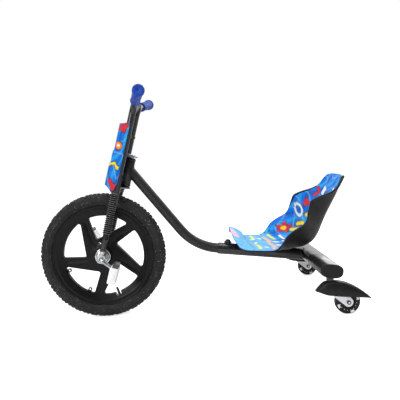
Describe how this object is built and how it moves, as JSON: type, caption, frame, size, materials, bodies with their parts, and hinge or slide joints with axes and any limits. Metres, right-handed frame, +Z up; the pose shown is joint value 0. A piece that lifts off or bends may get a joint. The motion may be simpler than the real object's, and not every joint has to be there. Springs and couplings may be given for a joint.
{
  "type": "three-wheel pedal scooter",
  "caption": "Child's pedal scooter: a large pedalled front wheel in a raked fork, a bucket seat low on a long beam, and small swivelling wheels at the back.",
  "frame": {"origin": "on the ground, under the middle of the scooter's length and width", "axes": "+X from the front wheel back towards the seat, +Z up, -Y towards the rider's left"},
  "size_m": [0.9942, 0.505, 0.7104],
  "materials": {
    "tyre_rubber": "matt black tread rubber",
    "black_rubber": "matt black rubber",
    "caster_rubber": "hard black polymer with pale flecks",
    "frame_black": "gloss black paint",
    "wheel_black": "satin black moulding",
    "black_plastic": "matt black moulding",
    "chrome": "bright plate",
    "zinc_steel": "zinc plate",
    "blue_grip": "blue rubber, fluted",
    "printed_sheet": null,
    "pale_plastic": "off-white moulding",
    "grey_reflector": "dark grey lens"
  },
  "bodies": {
    "rear_frame": {"rear_sleeve": "frame_black", "crossbar": "frame_black", "crossbar_cap_left": "black_plastic", "crossbar_cap_right": "black_plastic", "seat_liner": "printed_sheet", "seat_shell": "black_plastic", "seat_bolt_front_left": "zinc_steel", "seat_bolt_front_right": "zinc_steel", "seat_bolt_rear_left": "zinc_steel", "seat_bolt_rear_right": "zinc_steel"},
    "lock_knob": {"lock_knob": "black_plastic"},
    "front_frame": {"main_tube": "frame_black", "head_tube": "frame_black", "headset_bush_lower": "black_plastic", "headset_bush_upper": "black_plastic"},
    "steering": {"steerer": "zinc_steel", "steerer_nut": "zinc_steel", "lower_crown": "frame_black", "upper_crown": "zinc_steel", "front_shield": "printed_sheet", "shield_bracket_lower": "frame_black", "shield_bracket_upper": "frame_black", "shield_screw_lower": "zinc_steel", "shield_screw_upper": "zinc_steel", "fork_tube_left": "frame_black", "fork_tube_right": "frame_black", "grip_left": "blue_grip", "grip_right": "blue_grip", "fork_bellows_left": "black_rubber", "fork_bellows_right": "black_rubber", "fork_spring_left": "zinc_steel", "fork_spring_right": "zinc_steel"},
    "fork_sliders": {"slider_left": "frame_black", "slider_right": "frame_black", "bearing_holder_left": "chrome", "bearing_holder_right": "chrome", "axle_bearing_left": "zinc_steel", "axle_bearing_right": "zinc_steel"},
    "front_wheel": {"tyre": "tyre_rubber", "inner_tube": "black_rubber", "wheel_rim": "wheel_black", "hub_plate_left": "chrome", "hub_plate_right": "chrome", "crank_axle": "chrome"},
    "pedal_left": {"pedal_left": "pale_plastic", "pedal_reflector_left": "grey_reflector"},
    "pedal_right": {"pedal_right": "pale_plastic", "pedal_reflector_right": "grey_reflector"},
    "caster_left": {"caster_fork_left": "zinc_steel", "caster_fender_left": "black_plastic", "kingpin_left": "zinc_steel", "caster_bolt_left": "zinc_steel"},
    "caster_wheel_left": {"caster_tyre_left": "caster_rubber", "caster_hub_left": "black_plastic"},
    "caster_right": {"caster_fork_right": "zinc_steel", "caster_fender_right": "black_plastic", "kingpin_right": "zinc_steel", "caster_bolt_right": "zinc_steel"},
    "caster_wheel_right": {"caster_tyre_right": "caster_rubber", "caster_hub_right": "black_plastic"}
  },
  "joints": [
    {"name": "frame_length", "type": "slide", "parent": "rear_frame", "child": "front_frame", "axis": [-0.9836, 0, 0.1805], "range_m": [0, 0.1]},
    {"name": "lock_knob_turn", "type": "hinge", "parent": "rear_frame", "child": "lock_knob", "pos_m": [0.1111, 0, 0.1792], "axis": [0.1805, 0, 0.9836], "range_deg": [0, 360]},
    {"name": "steer", "type": "hinge", "parent": "front_frame", "child": "steering", "pos_m": [-0.27686, 0, 0.19739], "axis": [0.3228, 0, 0.9465], "range_deg": [-50, 50]},
    {"name": "fork_travel", "type": "slide", "parent": "steering", "child": "fork_sliders", "axis": [0.3228, 0, 0.9465], "range_m": [0, 0.015], "stiffness_N_per_m": 20000, "springref_m": -0.006, "deforming": ["fork_bellows_left", "fork_bellows_right", "fork_spring_left", "fork_spring_right"]},
    {"name": "wheel_spin", "type": "hinge", "parent": "fork_sliders", "child": "front_wheel", "pos_m": [-0.2939, 0, 0.2032], "axis": [0, 1, 0], "continuous": true},
    {"name": "pedal_spin_left", "type": "hinge", "parent": "front_wheel", "child": "pedal_left", "pos_m": [-0.25002, -0.12025, 0.16228], "axis": [0, 1, 0], "continuous": true},
    {"name": "pedal_spin_right", "type": "hinge", "parent": "front_wheel", "child": "pedal_right", "pos_m": [-0.33778, 0.12025, 0.24412], "axis": [0, 1, 0], "continuous": true},
    {"name": "caster_swivel_left", "type": "hinge", "parent": "rear_frame", "child": "caster_left", "pos_m": [0.3796, -0.23, 0.12], "axis": [0, 0, 1], "continuous": true},
    {"name": "caster_wheel_spin_left", "type": "hinge", "parent": "caster_left", "child": "caster_wheel_left", "pos_m": [0.4241, -0.23, 0.036], "axis": [0, 1, 0], "continuous": true},
    {"name": "caster_swivel_right", "type": "hinge", "parent": "rear_frame", "child": "caster_right", "pos_m": [0.3796, 0.23, 0.12], "axis": [0, 0, 1], "continuous": true},
    {"name": "caster_wheel_spin_right", "type": "hinge", "parent": "caster_right", "child": "caster_wheel_right", "pos_m": [0.4241, 0.23, 0.036], "axis": [0, 1, 0], "continuous": true}
  ]
}
